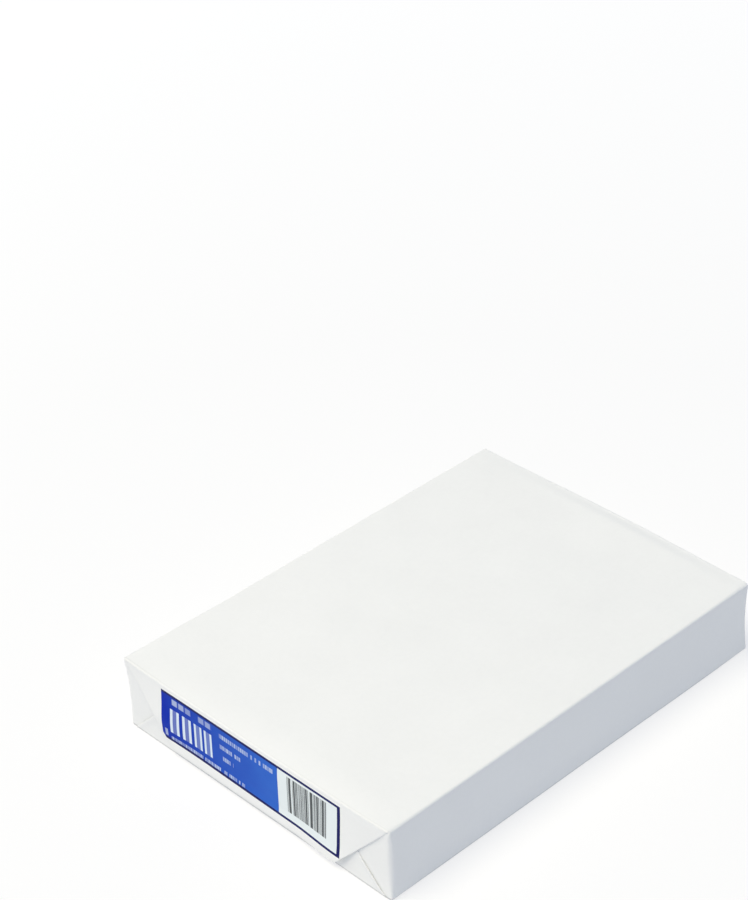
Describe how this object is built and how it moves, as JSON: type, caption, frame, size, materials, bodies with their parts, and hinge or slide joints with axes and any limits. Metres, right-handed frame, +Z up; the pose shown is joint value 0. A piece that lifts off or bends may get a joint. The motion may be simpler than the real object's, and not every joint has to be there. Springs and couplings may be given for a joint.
{
  "type": "wrapped ream of A4 paper",
  "caption": "Sealed, paper-wrapped block of A4 copier sheets with parcel-folded ends and a plain printed field on one end.",
  "frame": {"origin": "middle of the underside, on the plane that the ream rests on", "axes": "+Z up through the stack, +Y along the long side of the sheet, +X along the short side; the printed end faces -Y"},
  "size_m": [0.2118, 0.3008, 0.0488],
  "materials": {
    "wrapper": "smooth white wrapping paper, faintly satin"
  },
  "bodies": {
    "root": {"wrapped_ream": "wrapper"}
  },
  "joints": []
}
